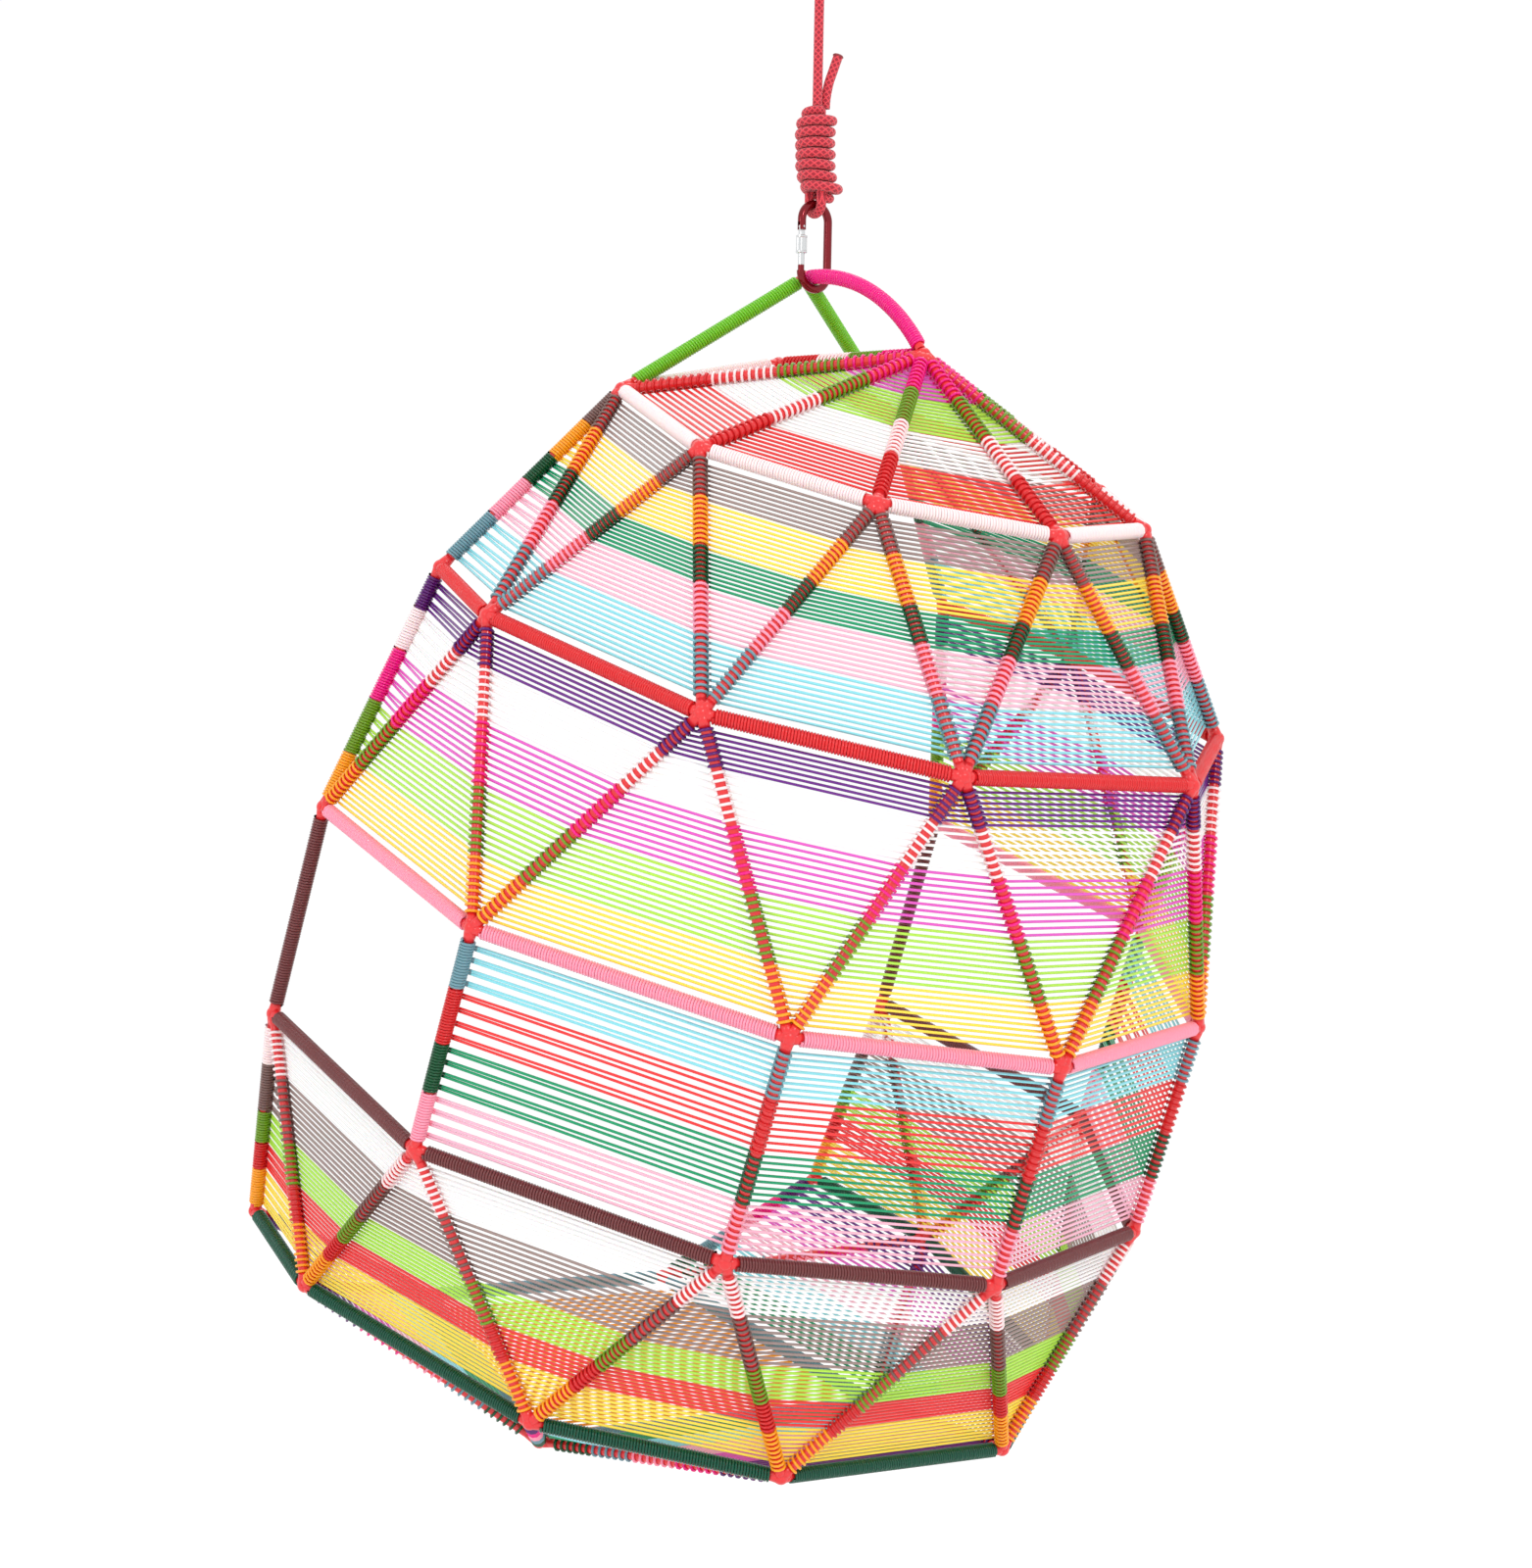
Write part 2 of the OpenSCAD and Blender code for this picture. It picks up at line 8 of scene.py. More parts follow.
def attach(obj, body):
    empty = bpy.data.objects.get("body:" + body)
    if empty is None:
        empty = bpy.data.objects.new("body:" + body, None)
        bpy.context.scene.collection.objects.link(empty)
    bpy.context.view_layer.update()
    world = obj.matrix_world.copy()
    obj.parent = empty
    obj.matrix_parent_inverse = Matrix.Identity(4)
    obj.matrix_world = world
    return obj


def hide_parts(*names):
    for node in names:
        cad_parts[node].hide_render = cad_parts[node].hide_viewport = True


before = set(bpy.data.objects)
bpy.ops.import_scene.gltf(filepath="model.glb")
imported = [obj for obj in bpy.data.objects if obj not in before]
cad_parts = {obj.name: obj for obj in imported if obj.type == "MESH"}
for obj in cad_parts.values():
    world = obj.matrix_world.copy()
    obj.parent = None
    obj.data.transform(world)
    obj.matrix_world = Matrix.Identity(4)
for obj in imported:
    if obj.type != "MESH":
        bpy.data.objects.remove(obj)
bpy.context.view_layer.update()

# ---- Camera ----
# A long lens at the height of the seat, level, a little over four metres off
# on the closed side, so the chair is seen from behind and to its right.
camera_data = bpy.data.cameras.new("camera")
camera_data.sensor_fit = "AUTO"
camera_data.sensor_width = 36
camera_data.lens = 79.7
camera = bpy.data.objects.new("camera", camera_data)
camera.location = (2.71196, 3.28669, -1.22967)
camera.rotation_euler = [math.radians(a) for a in (90.927, -1.154, 141.077)]
bpy.context.scene.collection.objects.link(camera)
bpy.context.scene.camera = camera

# ---- Rope ----
# Braided polyester rope, 12 mm thick: a short taut length between two wrapped
# knots. The sheath is woven of coloured yarns over a straight core.
MM = 0.001
rope_r = 6.0
eye_bar_z = -66.0
bow_top_z = -446.232
knot_neck = 14.0
knot_len = 108.0
knot_r = 24.0
rope_top_z = eye_bar_z - knot_neck - knot_len
rope_low_z = bow_top_z + knot_neck + knot_len


def linear(hex_colour):
    """An sRGB hex colour as linear red, green, blue and alpha."""
    parts = [int(hex_colour[i : i + 2], 16) / 255 for i in (1, 3, 5)]
    return [p / 12.92 if p <= 0.04045 else ((p + 0.055) / 1.055) ** 2.4 for p in parts] + [1]


def add_node(tree, kind, settings=None, **links):
    """A node with its settings, and its inputs given as values or other outputs.

    An input is given by its name, or as _0, _1 and so on by its place.
    """
    node = tree.nodes.new(kind)
    for key, value in (settings or {}).items():
        setattr(node, key, value)
    for key, value in links.items():
        name = int(key[1:]) if key[1:].isdigit() else key.replace("_", " ")
        socket = node.inputs[name]
        if isinstance(value, bpy.types.NodeSocket):
            tree.links.new(value, socket)
        else:
            socket.default_value = value
    return node


def new_material(name, colour, **shader):
    """A principled material with plain values on the shader's own sockets."""
    material = bpy.data.materials.new(name)
    material.use_nodes = True
    shader_node = material.node_tree.nodes["Principled BSDF"]
    shader_node.inputs["Base Color"].default_value = linear(colour)
    for key, value in shader.items():
        shader_node.inputs[key.replace("_", " ")].default_value = value
    return material


def braided_rope(name, colour, painted_gap_shade, length, around=5, pitch=7.5):
    """Polyester braid: matte yarns that cross in a herringbone along the rope, darkened between
    them by painted shade.

    The real yarns cross every 4 mm, too fine to show here, so they are drawn coarser.
    """
    material = new_material(name, colour, Roughness=0.75, IOR=1.5, Sheen_Weight=0.25)
    tree = material.node_tree
    shader_node = tree.nodes["Principled BSDF"]
    place = add_node(tree, "ShaderNodeTexCoord")
    split = add_node(tree, "ShaderNodeSeparateXYZ", Vector=place.outputs["UV"])
    along = add_node(tree, "ShaderNodeMath", {"operation": "MULTIPLY"},
                     _0=split.outputs[0], _1=2 * math.pi * length / pitch)
    turn = add_node(tree, "ShaderNodeMath", {"operation": "MULTIPLY"},
                    _0=split.outputs[1], _1=2 * math.pi * around)
    yarns = []
    for way in ("ADD", "SUBTRACT"):
        angle = add_node(tree, "ShaderNodeMath", {"operation": way},
                         _0=along.outputs[0], _1=turn.outputs[0])
        yarns.append(add_node(tree, "ShaderNodeMath", {"operation": "SINE"}, _0=angle.outputs[0]))
    crossing = add_node(tree, "ShaderNodeMath", {"operation": "MAXIMUM"},
                        _0=yarns[0].outputs[0], _1=yarns[1].outputs[0])
    level = add_node(tree, "ShaderNodeMapRange", _0=crossing.outputs[0], _1=-0.1, _2=0.95)
    # The colour runs down to the darker red in the gaps between the yarns: painted shade in the
    # recesses of the braid.
    painted_gap_shading = add_node(tree, "ShaderNodeMix", {"data_type": "RGBA"}, _0=level.outputs[0],
                    _6=linear(painted_gap_shade), _7=linear(colour))
    tree.links.new(painted_gap_shading.outputs[2], shader_node.inputs["Base Color"])
    relief = add_node(tree, "ShaderNodeBump", Strength=0.8, Distance=0.0012,
                      Height=level.outputs[0])
    tree.links.new(relief.outputs[0], shader_node.inputs["Normal"])
    return material


def cord_piece(name, radius, runs, materials, sides=1, caps=False):
    """Round cord swept along each run of points in mm, as one curve object.

    A run is (points, material number).
    """
    curve = bpy.data.curves.new(name, "CURVE")
    curve.dimensions = "3D"
    curve.bevel_depth = radius * MM
    curve.bevel_resolution = sides
    curve.use_fill_caps = caps
    curve.resolution_u = 1
    for material in materials:  # before the splines, whose numbers are clamped to them
        curve.materials.append(material)
    for points, number in runs:
        spline = curve.splines.new("POLY")
        spline.points.add(len(points) - 1)
        flat = []
        for p in points:
            flat += [p[0] * MM, p[1] * MM, p[2] * MM, 1.0]
        spline.points.foreach_set("co", flat)
        spline.material_index = number
        spline.use_smooth = True
    piece = bpy.data.objects.new(name, curve)
    bpy.context.scene.collection.objects.link(piece)
    return piece


def belongs(piece, body, slot_name, *nodes):
    """Rides on a body and stands for CAD nodes, which it hides; the slot's name is not used."""
    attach(piece, body)
    if nodes:
        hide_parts(*nodes)
    return piece


# The rope's own red, and a darker red that is painted shade in the gaps between its yarns.
ROPE_RED, ROPE_GAP_PAINTED_SHADE = "#EC4250", "#A0152C"


def rope_material(name, points):
    """The rope's braid, at its real size on a rope through these points."""
    length = sum((Vector(b) - Vector(a)).length for a, b in zip(points, points[1:]))
    return braided_rope(name, ROPE_RED, ROPE_GAP_PAINTED_SHADE, length)


def rope_piece(name, points):
    return cord_piece(name, rope_r, [(points, 0)], [rope_material(name + "_braid", points)],
                      sides=6, caps=True)


rope_steps = 16
rope_points = [(0, 0, rope_top_z + (rope_low_z - rope_top_z) * i / rope_steps)
               for i in range(rope_steps + 1)]
rope = belongs(rope_piece("taut_rope", rope_points), "rope", "rope_red", "rope_line")

# ---- Wrapped knots ----
# The rope's end is passed round the bar, laid back beside itself and wound
# eight times round both. The turns are pulled up by hand, so they lie uneven,
# slant more towards the bar and bulge on one side there.
KNOT_SIDE = math.radians(141)  # the side that the lowest turns bulge to


def wrapped_knot(name, bar_z, bight_r, up):
    """The bight round a bar at bar_z and the wraps above it (up) or below it."""
    buried = 4  # how far the bight's legs go into the wraps, and start below them
    arc_steps = 24
    bight = [(0, -bight_r, knot_neck + buried), (0, -bight_r, knot_neck - buried)]
    for i in range(arc_steps + 1):
        a = math.pi + math.pi * i / arc_steps
        bight.append((0, bight_r * math.cos(a), bight_r * math.sin(a)))
    bight += [(0, bight_r, knot_neck - buried), (0, bight_r, knot_neck + buried)]

    turns, steps = 8, 28
    count = turns * steps
    first, last = 8.0, knot_neck + knot_len - rope_r  # centres of the end turns
    mean_r = knot_r - rope_r + 1.2
    tuck = 12  # how far each end goes in between the turns
    bulge_size, bulge_at, bulge_spread = 5.5, 0.14, 0.1
    coil = []
    for i in range(count + 1):
        share = i / count  # 0 at the bar, 1 at the far end
        a = 2 * math.pi * i / steps + math.pi / 2
        toward = math.cos(a - KNOT_SIDE)
        at_end = 1 - min(1.0, i / steps, (count - i) / steps)
        bulge = bulge_size * math.exp(-((share - bulge_at) / bulge_spread) ** 2) * max(0.0, toward)
        uneven = 0.8 * math.sin(2.3 * a / math.pi)
        r = mean_r - tuck * at_end ** 2 + uneven + bulge
        shift = 4.5 * math.cos(1.6 * math.pi * share) * (1 - share)
        slant = (1.2 + 4.5 * (1 - share) ** 2) * toward * min(1.0, 0.25 + share * 8)
        coil.append((r * math.cos(a) + shift * math.cos(KNOT_SIDE),
                     r * math.sin(a) + shift * math.sin(KNOT_SIDE),
                     first + (last - first) * share - slant))
    cores = [[(x, 0, knot_neck + 2), (x * 0.9, 0, knot_neck + knot_len - 3)] for x in (-7, 7)]

    def placed(run):
        return [(x, y, bar_z + (z if up else -z)) for x, y, z in run]

    braid = rope_material(name + "_braid", coil)
    bight_braid = rope_material(name + "_bight_braid", bight)
    runs = [(placed(coil), 0), (placed(bight), 1)] + [(placed(c), 1) for c in cores]
    return cord_piece(name, rope_r, runs, [braid, bight_braid], sides=6, caps=True)


lower_knot = belongs(wrapped_knot("lower_wrapped_knot", bow_top_z, 11.5, True),
                     "rope", "rope_red", "lower_knot")
upper_knot = belongs(wrapped_knot("upper_wrapped_knot", eye_bar_z, 11.3, False),
                     "rope", "rope_red", "upper_knot")

# ---- Rope tail ----
# The cut end of the rope, standing out of the top of the lower knot. The
# sheath is melted hard at the cut and spreads a little there.
tail_sunk = 2  # below the knot's top
tail_line = [(-12.6, 0, 0), (-12.7, 0.2, 6), (-13, 0.5, 12), (-13.6, 1, 18), (-14.5, 1.5, 24),
             (-15.6, 2, 30), (-17, 2.8, 36), (-18.8, 3.7, 42), (-20.6, 4.6, 48),
             (-22.4, 5.4, 54), (-24.2, 6.2, 60), (-26, 7, 66)]
tail_points = [Vector((x, y, z + rope_low_z - tail_sunk)) for x, y, z in tail_line]
rope_tail = belongs(rope_piece("cut_rope_tail", tail_points), "rope", "rope_red", "rope_tail")


def mesh_piece(name, bm, material):
    """The finished shape as an object of one material."""
    mesh = bpy.data.meshes.new(name)
    bm.to_mesh(mesh)
    bm.free()
    mesh.materials.append(material)
    piece = bpy.data.objects.new(name, mesh)
    bpy.context.scene.collection.objects.link(piece)
    return piece


def standing_along(way, place):
    """Turns a shape's Z axis to a direction and moves it to a place in mm."""
    return Matrix.Translation(place * MM) @ way.to_track_quat("Z", "Y").to_matrix().to_4x4()


melt_r, melt_flatness = 6.9, 0.4
melted = new_material("melted_polyester", "#8A3438", Roughness=0.45, IOR=1.5)
bm = bmesh.new()
bmesh.ops.create_uvsphere(bm, u_segments=24, v_segments=12, radius=melt_r * MM)
bmesh.ops.scale(bm, vec=(1, 1, melt_flatness), verts=bm.verts)
tail_way = (tail_points[-1] - tail_points[-2]).normalized()
bmesh.ops.transform(bm, verts=bm.verts, matrix=standing_along(tail_way, tail_points[-1]))
for face in bm.faces:
    face.smooth = True
melted_end = belongs(mesh_piece("melted_tail_end", bm, melted), "rope", "rope_red")

# ---- Ceiling fitting ----
# A zinc-plated steel plate with a pressed boss, a bronze thrust washer and a
# forged swivel eye. The plating is satin and cool, the bronze duller and warm.
def finish_part(node, material):
    """Gives a part from the frame its finish."""
    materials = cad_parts[node].data.materials
    materials.clear()
    materials.append(material)


zinc = new_material("zinc_plated_steel", "#C4C7C9", Metallic=1.0, Roughness=0.38)
bronze = new_material("sintered_bronze", "#A97F45", Metallic=1.0, Roughness=0.45)
finish_part("ceiling_plate", zinc)
finish_part("swivel_eye", zinc)
finish_part("bearing_washer", bronze)

# ---- Carabiner ----
# Forged aluminium anodised dark red, with a polished steel gate on a riveted
# pin. The anodised skin is smooth and shows a tight highlight.
anodised = new_material("red_anodised_aluminium", "#7C0F1C", Metallic=0.85, Roughness=0.28,
                        Coat_Weight=0.4, Coat_Roughness=0.1)
polished = new_material("polished_steel", "#D8DADB", Metallic=1.0, Roughness=0.16)
finish_part("carabiner_body", anodised)
finish_part("gate_pin", polished)
finish_part("carabiner_gate", polished)

# ---- Lock sleeve ----
# A turned steel sleeve, knurled with straight flutes between two plain bands.
sleeve_top_z, sleeve_len, sleeve_x = -487.032, 22.0, 20.8
sleeve_r, sleeve_bore, flutes = 7.0, 4.3, 28
bevel, band, waist_start, waist_depth = 0.5, 2.5, 3.2, 0.35
waist_r = sleeve_r - waist_depth
flute_depth = 0.045  # as a share of the radius
profile = [(sleeve_bore, 0), (sleeve_r - bevel, 0), (sleeve_r, bevel), (sleeve_r, band),
           (waist_r, waist_start), (waist_r, sleeve_len - waist_start),
           (sleeve_r, sleeve_len - band), (sleeve_r, sleeve_len - bevel),
           (sleeve_r - bevel, sleeve_len), (sleeve_bore, sleeve_len)]
bm = bmesh.new()
ring = [bm.verts.new((r * MM, 0, z * MM)) for r, z in profile]
edges = [bm.edges.new((a, b)) for a, b in zip(ring, ring[1:] + ring[:1])]
bmesh.ops.spin(bm, geom=ring + edges, cent=(0, 0, 0), axis=(0, 0, 1), angle=2 * math.pi,
               steps=4 * flutes, use_merge=True)
for v in bm.verts:
    between_bands = 3 < v.co.z / MM < sleeve_len - 3
    if between_bands and v.co.xy.length > (sleeve_r - 1) * MM:
        wave = 0.5 - 0.5 * math.cos(math.atan2(v.co.y, v.co.x) * flutes)
        v.co.xy *= 1 - flute_depth * wave
bmesh.ops.recalc_face_normals(bm, faces=bm.faces)
bmesh.ops.translate(bm, verts=bm.verts,
                    vec=(sleeve_x * MM, 0, (sleeve_top_z - sleeve_len) * MM))
belongs(mesh_piece("knurled_lock_sleeve", bm, polished), "sleeve", "polished_steel",
        "lock_sleeve")

# ---- Frame corners ----
# The egg's corners, from its rings: radius, height, set-back and the turn of
# each corner from the back, in mm and degrees, leaned back as the chair hangs.
LEAN = math.radians(19.7)
HANDLE_TOP = Vector((0, -231, 726))
HANG = Vector((0, -16, -535))


def leaned(x, y, z):
    """A point of the upright egg, placed as the chair hangs."""
    d = Vector((x, y, z)) - HANDLE_TOP
    c, s = math.cos(LEAN), math.sin(LEAN)
    return Vector((d.x, d.y * c + d.z * s, d.z * c - d.y * s)) + HANG


FRONT_CORNER_OUT = 1.055  # the corners at the opening stand out further


def ring_corners(radius, turns, height, back, middle):
    """A ring's corners, from one side of the opening round the back to the other.

    turns are those of one side, the other mirrors them, and middle says that
    the first of them is a single corner at the back.
    """
    signed = list(reversed(turns)) + [-t for t in (turns[1:] if middle else turns)]
    corners = []
    for i, turn in enumerate(signed):
        r = radius * (FRONT_CORNER_OUT if i in (0, len(signed) - 1) else 1)
        a = math.radians(turn)
        corners.append(leaned(r * math.sin(a), r * math.cos(a) + back, height))
    return corners


crown = ring_corners(318, [0, 41, 82, 139], 556, 0, True)
shoulder = ring_corners(474, [22, 58, 101, 126], 310, 13, False)
waist = ring_corners(540, [0, 36, 78, 120], 0, 0, True)
hip = ring_corners(541, [0, 36, 78, 120], -275, -12, True)
base = ring_corners(505, [20, 54, 98, 121], -546, -28, False)
floor_r, floor_back, floor_height = 305, -28, -664
floor = [leaned(floor_r * math.sin(math.radians(a)),
                floor_r * math.cos(math.radians(a)) + floor_back, floor_height)
         for a in (141, 61, -61, -141)]
hub = leaned(0, 18, 691)
apex = leaned(0, -231, 726)
brow = leaned(0, -243, 613)


def hoop(corners):
    """The tubes from each corner to the next."""
    return list(zip(corners, corners[1:]))


crown_struts = [(hub, p) for p in crown] + [(hub, brow)]
crown_hoop = hoop(crown) + [(crown[6], brow), (brow, crown[0])]
shoulder_struts = [(crown[i], shoulder[i + j]) for i in range(7) for j in (0, 1)]
waist_struts = [(shoulder[i + j], waist[i]) for i in range(7) for j in (0, 1)]
posts = list(zip(waist, hip))
base_struts = [(hip[i], base[i + j]) for i in range(7) for j in (0, 1)]
floor_struts = [(base[a], floor[b]) for a, b in ((0, 0), (1, 0), (1, 1), (2, 1), (3, 1),
                                                 (4, 2), (5, 2), (6, 2), (6, 3), (7, 3))]
floor_bars = hoop(floor) + [(floor[3], floor[0])]
legs = [(apex, crown[0]), (apex, crown[6])]
all_tubes = (crown_struts + crown_hoop + shoulder_struts + hoop(shoulder) + waist_struts
             + hoop(waist) + posts + hoop(hip) + base_struts + hoop(base) + floor_struts
             + floor_bars + legs)
all_corners = [hub, brow, apex] + crown + shoulder + waist + hip + base + floor

# ---- Frame tubes ----
# Round steel tube, 12 mm across, powder coated red before it was wound. The
# coat is thick, even and half glossy.
tube_r = 6.0
powder = new_material("red_powder_coat", "#E5262B", Roughness=0.3, IOR=1.5, Coat_Weight=0.3,
                      Coat_Roughness=0.12)
for node in ("crown_frame", "shoulder_frame", "waist_frame", "side_frame", "base_frame",
             "floor_frame", "handle_legs", "handle_arch"):
    finish_part(node, powder)

# ---- Welded corners ----
# Where tubes meet they are mitred and welded, and the bead is ground to a
# smooth blob that swells a little over each tube's end.
weld_ball_r, bead_r, bead_end_r, bead_len = 9.2, 8.4, 6.2, 17
bm = bmesh.new()
for corner in all_corners:
    bmesh.ops.create_uvsphere(bm, u_segments=16, v_segments=10, radius=weld_ball_r * MM,
                              matrix=Matrix.Translation(corner * MM))
    for ends in all_tubes:
        for near, far in (ends, ends[::-1]):
            if (near - corner).length > 0.01:
                continue
            way = (far - near).normalized()
            bead = standing_along(way, corner + way * bead_len / 2)
            bmesh.ops.create_cone(bm, segments=14, radius1=bead_r * MM,
                                  radius2=bead_end_r * MM, depth=bead_len * MM,
                                  cap_ends=True, matrix=bead)
for face in bm.faces:
    face.smooth = True
belongs(mesh_piece("welded_corners", bm, powder), "pod", "frame_red", "frame_joints")

# ---- Coloured cord ----
# Extruded soft vinyl cord, 3.5 mm thick and slightly clear, so it looks deeper
# where it lies on the red tube and brighter where it crosses open air.
cord_r = 1.75
wrap_r = tube_r + cord_r
CORD_COLOURS = {  # name: (wound on a tube, free between tubes)
    "magenta": ("#F01388", "#E45BC8"),
    "lime": ("#6F9A1B", "#B4E84F"),
    "white": ("#FFE9EA", "#FFFFFF"),
    "red": ("#D41F22", "#F0393A"),
    "taupe": ("#7A5B56", "#A08C87"),
    "yellow": ("#FBA51E", "#FFE34F"),
    "green": ("#004F2A", "#0F9D6A"),
    "pink": ("#FF9DB5", "#F7BBD0"),
    "cyan": ("#6F9AA6", "#8FE0EA"),
    "purple": ("#5A0F6E", "#6B1F8A"),
}


def vinyl_cord(name, colour):
    """Soft vinyl: glossy and a little deep, with a narrow highlight along it."""
    return new_material(name, colour, Roughness=0.24, IOR=1.53, Subsurface_Weight=0.12,
                        Subsurface_Scale=0.002, Specular_IOR_Level=0.3, Coat_Weight=0.2,
                        Coat_Roughness=0.08)


cord_materials = {
    name: (vinyl_cord(f"{name}_vinyl_wound", wound), vinyl_cord(f"{name}_vinyl_free", free))
    for name, (wound, free) in CORD_COLOURS.items()
}
brown_vinyl = vinyl_cord("brown_vinyl_wound", "#73393A")
hoop_red_vinyl = vinyl_cord("deep_red_vinyl_wound", "#E02A2E")
deep_green_vinyl = vinyl_cord("deep_green_vinyl_wound", "#00503A")

TURN_STEPS = 10  # straight pieces in one turn round a tube
egg_axis_point = leaned(0, 0, 0)
egg_axis = (leaned(0, 0, 1) - egg_axis_point).normalized()


def tube_frame(p, q):
    """Directions along a tube, out of the egg and across, at the tube's middle."""
    along = (q - p).normalized()
    middle = (p + q) / 2
    out = middle - egg_axis_point
    out = out - egg_axis * out.dot(egg_axis)
    out = (out - along * out.dot(along)).normalized()
    return along, out, along.cross(out)


def close_winding(p, q, start, end):
    """One long helix of cord from start mm after p to end mm before q."""
    along, out, side = tube_frame(p, q)
    length = (q - p).length - start - end
    count = max(TURN_STEPS, int(length / (2 * cord_r) * TURN_STEPS))
    run = []
    for i in range(count + 1):
        a = 2 * math.pi * i / TURN_STEPS
        run.append(p + along * (start + length * i / count)
                   + (out * math.cos(a) + side * math.sin(a)) * wrap_r)
    return run


# ---- Wound hoops ----
# Every hoop, the two posts of the opening and the floor frame are wound close
# from end to end, each ring of the egg in its own colour.
hoop_start = 14.0
for name, node, tubes, vinyl, colour in (
        ("crown_hoop_cord", "crown_hoop_winding", crown_hoop, cord_materials["white"][0], "white"),
        ("shoulder_hoop_cord", "shoulder_hoop_winding", hoop(shoulder), hoop_red_vinyl, "red"),
        ("waist_hoop_cord", "waist_hoop_winding", hoop(waist), cord_materials["pink"][0], "pink"),
        ("hip_hoop_and_post_cord", "hip_hoop_winding", hoop(hip) + [posts[0], posts[6]],
         brown_vinyl, "brown"),
        ("base_hoop_cord", "base_hoop_winding", hoop(base), deep_green_vinyl, "dark_green"),
        ("floor_bar_cord", "floor_bar_winding", floor_bars, cord_materials["cyan"][0], "cyan")):
    runs = [(close_winding(p, q, hoop_start, hoop_start), 0) for p, q in tubes]
    belongs(cord_piece(name, cord_r, runs, [vinyl]), "pod", f"cord_{colour}", node)

# ---- Handle windings ----
# The two straight legs are wound in lime and the bowed leg in magenta, close
# enough that no tube shows between the turns.
leg_first, leg_last = 12, 20
leg_runs = [(close_winding(p, q, leg_first, leg_last), 0) for p, q in legs]
bright_lime_vinyl = vinyl_cord("bright_lime_vinyl_wound", "#72C41E")
belongs(cord_piece("handle_leg_cord", cord_r, leg_runs, [bright_lime_vinyl]),
        "pod", "cord_lime", "handle_leg_windings")

arch_run_y, arch_fall = hub.y - apex.y, apex.z - hub.z
arch_r = (arch_run_y ** 2 + arch_fall ** 2) / (2 * arch_fall)
arch_middle = Vector((0, apex.y, apex.z - arch_r))
arch_first, arch_last = 9.5, 16.0
arch_wound = arch_r * math.asin(arch_run_y / arch_r) - arch_first - arch_last
arch_steps = arch_wound / (2 * cord_r) * TURN_STEPS
across = Vector((1, 0, 0))
arch_points = []
for i in range(int(arch_steps) + 1):
    t = (arch_first + arch_wound * i / arch_steps) / arch_r
    outward = Vector((0, math.sin(t), math.cos(t)))
    a = 2 * math.pi * i / TURN_STEPS
    round_leg = (outward * math.cos(a) + across * math.sin(a)) * wrap_r
    arch_points.append(arch_middle + outward * arch_r + round_leg)
belongs(cord_piece("handle_arch_cord", cord_r, [(arch_points, 0)],
                   [cord_materials["magenta"][0]]),
        "pod", "cord_magenta", "handle_arch_winding")

# ---- Woven panels ----
# Each cord goes from strut to strut inside them, and once round every strut
# that it meets, in level rows. The rows lie in bands of one colour.


def wrap_once(p, q, mm_along, drop):
    """One turn round a strut, that starts and ends on its inner side."""
    along, out, side = tube_frame(p, q)
    run = []
    for i in range(TURN_STEPS + 1):
        a = -2 * math.pi * i / TURN_STEPS
        run.append(p + along * (mm_along + drop * (i / TURN_STEPS - 0.5))
                   - (out * math.cos(a) + side * math.sin(a)) * wrap_r)
    return run


def off_strut(start, end):
    """Where the cord from start to end comes clear of the strut at start."""
    return start + (end - start).normalized() * wrap_r


def woven_band(zone, colour, struts, first, last, rows, closed):
    """Rows of cord across the struts, from one fraction down them to another.

    Unless the band goes all the way round (closed), the struts at both ends are
    wound close, and the rows reach them in pairs.
    """
    runs = []
    count = len(struts)
    end_struts = () if closed else (0, count - 1)
    for row in range(rows):
        share = first + (last - first) * (row + 0.5) / rows
        turns = []
        for k, (p, q) in enumerate(struts):
            length = (q - p).length
            at = share * length
            if k in end_struts:
                pair = min(row // 2 * 2 + 1, rows - 0.5)
                at = (first + (last - first) * pair / rows) * length
                at += cord_r if row % 2 else -cord_r
                at = min(max(at, first * length + cord_r), last * length - cord_r)
            turns.append(wrap_once(p, q, at, 2 * cord_r))
        for k, turn in enumerate(turns):
            before = turns[k - 1] if closed or k else None
            after = turns[(k + 1) % count] if closed or k + 1 < count else None
            wound = [] if k in end_struts else list(turn)
            if before:
                wound = [off_strut(turn[0], before[-1])] + (wound or [turn[0]])
            if after:
                wound = (wound or [turn[-1]]) + [off_strut(turn[-1], after[0])]
                runs.append(([wound[-1], off_strut(after[0], turn[-1])], 1))
            runs.append((wound, 0))
    for k in end_struts:
        p, q = struts[k]
        length = (q - p).length
        runs.append((close_winding(p, q, first * length, (1 - last) * length), 0))
    piece = cord_piece(f"{zone}_{colour}_weave", cord_r, runs, cord_materials[colour])
    return belongs(piece, "pod", f"cord_{colour}", f"{zone}_cord_{colour}")


def woven_zone(zone, struts, bands, closed=False):
    """Bands from the struts' tops down: colour, first and last fraction, rows."""
    for colour, first, last, rows in bands:
        woven_band(zone, colour, struts, first, last, rows, closed)


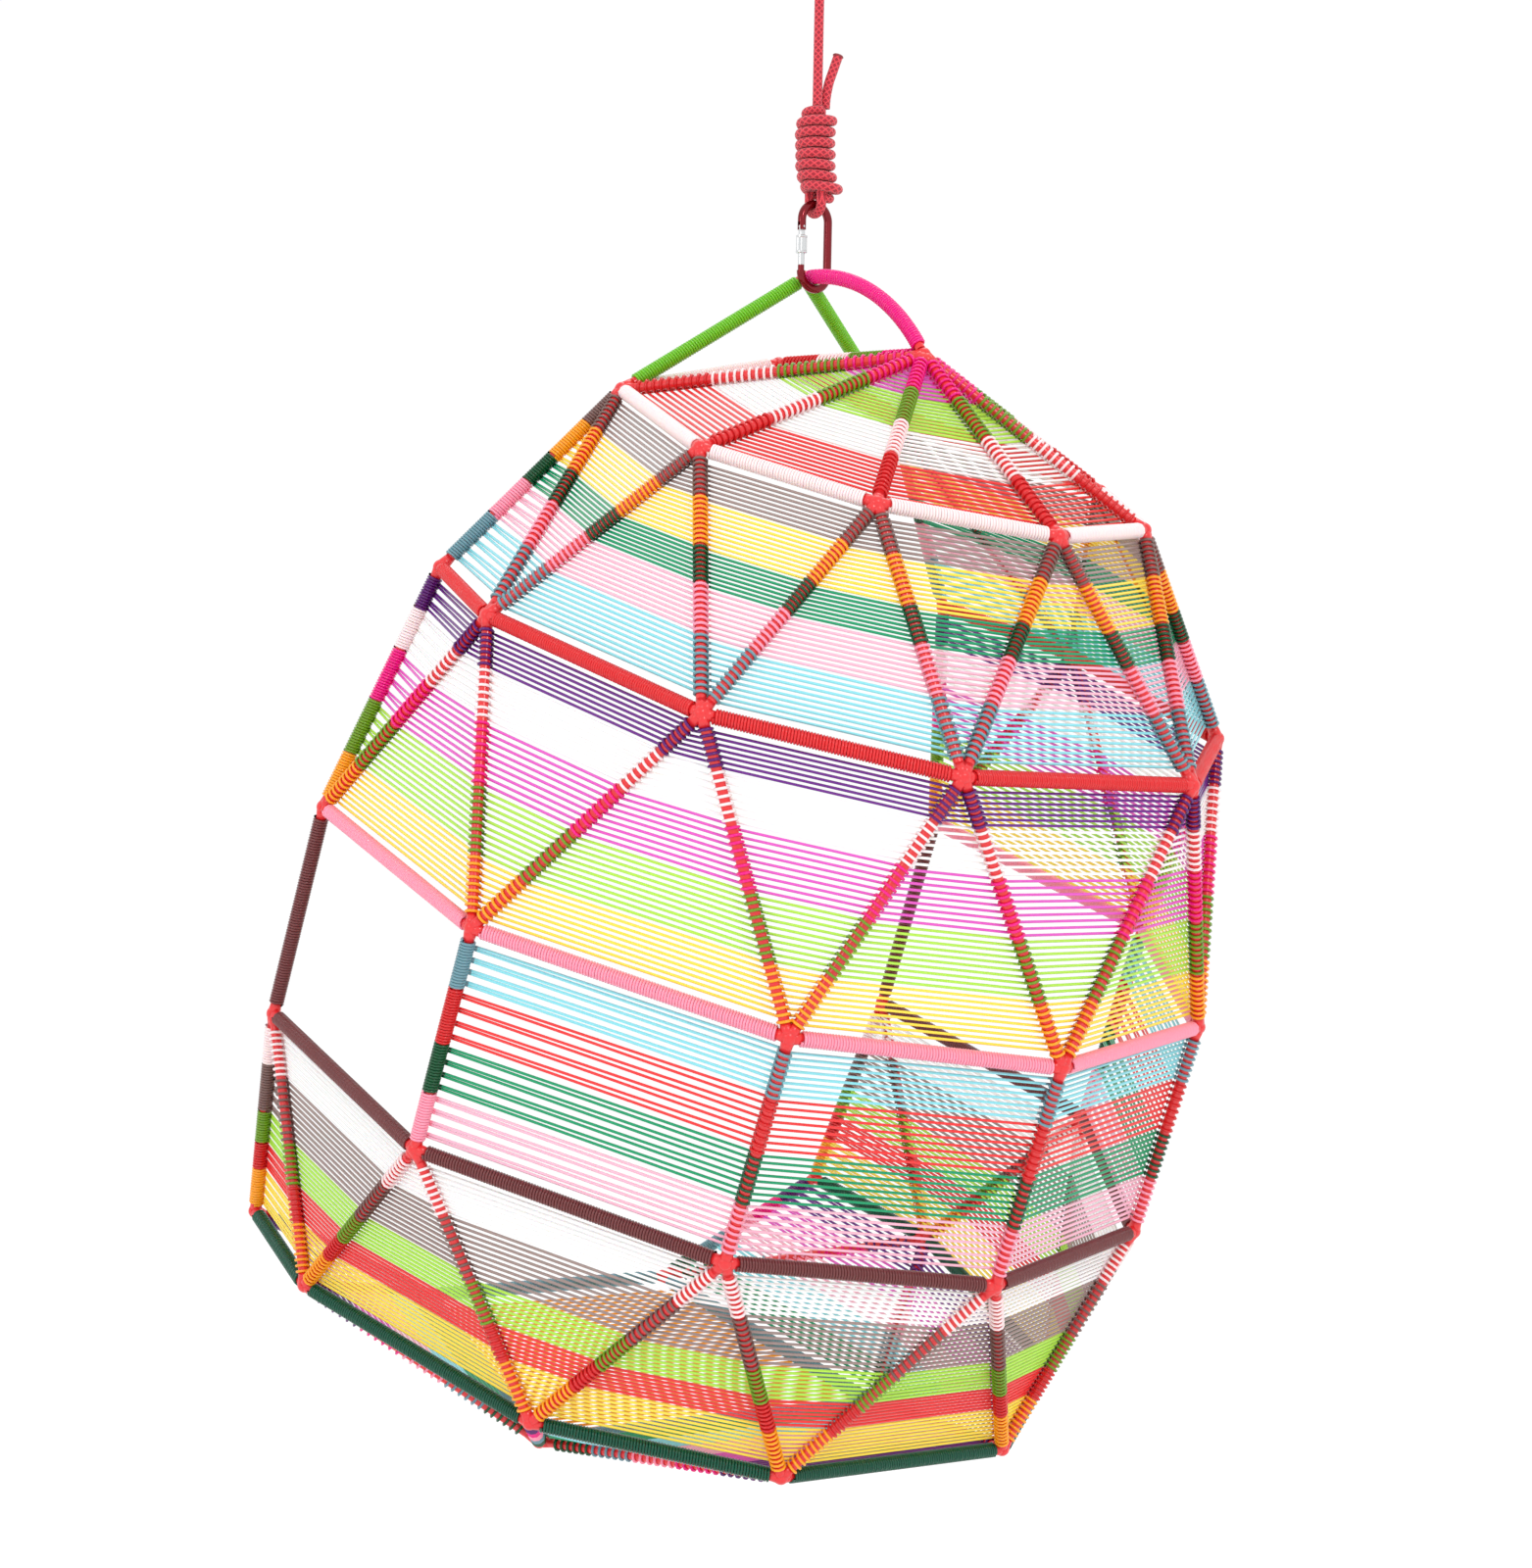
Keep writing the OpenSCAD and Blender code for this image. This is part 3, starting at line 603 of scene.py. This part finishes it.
woven_zone("crown", crown_struts, [
    ("magenta", 0.05, 0.26, 8), ("lime", 0.26, 0.48, 10), ("white", 0.48, 0.70, 9),
    ("red", 0.70, 0.95, 10)], closed=True)
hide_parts("strut_windings")
woven_zone("shoulder", shoulder_struts, [
    ("taupe", 0.04, 0.19, 8), ("yellow", 0.19, 0.38, 10), ("green", 0.38, 0.52, 8),
    ("pink", 0.52, 0.71, 9), ("cyan", 0.71, 0.94, 10)])
woven_zone("waist", waist_struts, [
    ("purple", 0.04, 0.17, 7), ("white", 0.17, 0.34, 7), ("magenta", 0.34, 0.55, 9),
    ("lime", 0.55, 0.77, 10), ("yellow", 0.77, 0.96, 9)])
woven_zone("side", posts[1:6], [
    ("cyan", 0.055, 0.265, 8), ("red", 0.265, 0.51, 8), ("green", 0.51, 0.735, 8),
    ("pink", 0.735, 0.955, 8)])
woven_zone("base", base_struts, [
    ("white", 0.06, 0.24, 8), ("taupe", 0.24, 0.48, 10), ("lime", 0.48, 0.64, 8),
    ("red", 0.64, 0.77, 7), ("yellow", 0.77, 0.96, 9)])
woven_zone("floor", floor_struts, [
    ("purple", 0.06, 0.24, 6), ("magenta", 0.24, 0.42, 6), ("pink", 0.42, 0.60, 6),
    ("cyan", 0.60, 0.77, 6), ("green", 0.77, 0.93, 6)])

# ---- Middle of the floor ----
# The floor frame's own field: cord run straight across it from bar to bar.
orange_vinyl = vinyl_cord("orange_vinyl_free", "#FBA51E")
near_front, near_side, far_side, far_front = floor
floor_rows, floor_margin = 34, 0.06
under_bars = -egg_axis * wrap_r
centre_runs = []
for i in range(floor_rows):
    f = floor_margin + (1 - 2 * floor_margin) * (i + 0.5) / floor_rows
    near = near_front.lerp(near_side, f) + under_bars
    far = far_front.lerp(far_side, f) + under_bars
    centre_runs.append(([near, far], 0))
belongs(cord_piece("floor_centre_weave", cord_r, centre_runs, [orange_vinyl]), "pod",
        "cord_orange", "floor_centre_cord")

# ---- Floor and light ----
# A plain white studio: a wide floor well below the chair, a small key light
# for narrow highlights, a fill, a wide light above and an even white surround.
floor_z = -2.42  # in metres, as are the lights' places
paint = new_material("white_studio_paint", "#FFFFFF", Roughness=0.95)
bm = bmesh.new()
bmesh.ops.create_grid(bm, x_segments=1, y_segments=1, size=30,
                      matrix=Matrix.Translation((0, 0, floor_z)))
mesh_piece("studio_floor", bm, paint)

world = bpy.data.worlds.new("studio_surround")
world.use_nodes = True
surround = world.node_tree.nodes["Background"]
surround.inputs["Color"].default_value = linear("#FFFFFF")
surround.inputs["Strength"].default_value = 1.02
bpy.context.scene.world = world
chair_middle = Vector((0, 0, -1.35))
for name, place, size, power in (("key_light", (1.2, 4.2, 1.6), 0.9, 42),
                                 ("left_fill", (4.2, 0.6, 0.2), 1.2, 14),
                                 ("top_light", (-1.0, -0.8, 2.2), 2.0, 20)):
    light = bpy.data.lights.new(name, "AREA")
    light.shape = "DISK"
    light.size = size
    light.energy = power
    lamp = bpy.data.objects.new(name, light)
    lamp.location = place
    lamp.rotation_euler = (chair_middle - Vector(place)).to_track_quat("-Z", "Y").to_euler()
    bpy.context.scene.collection.objects.link(lamp)
bpy.context.scene.view_settings.view_transform = "Standard"
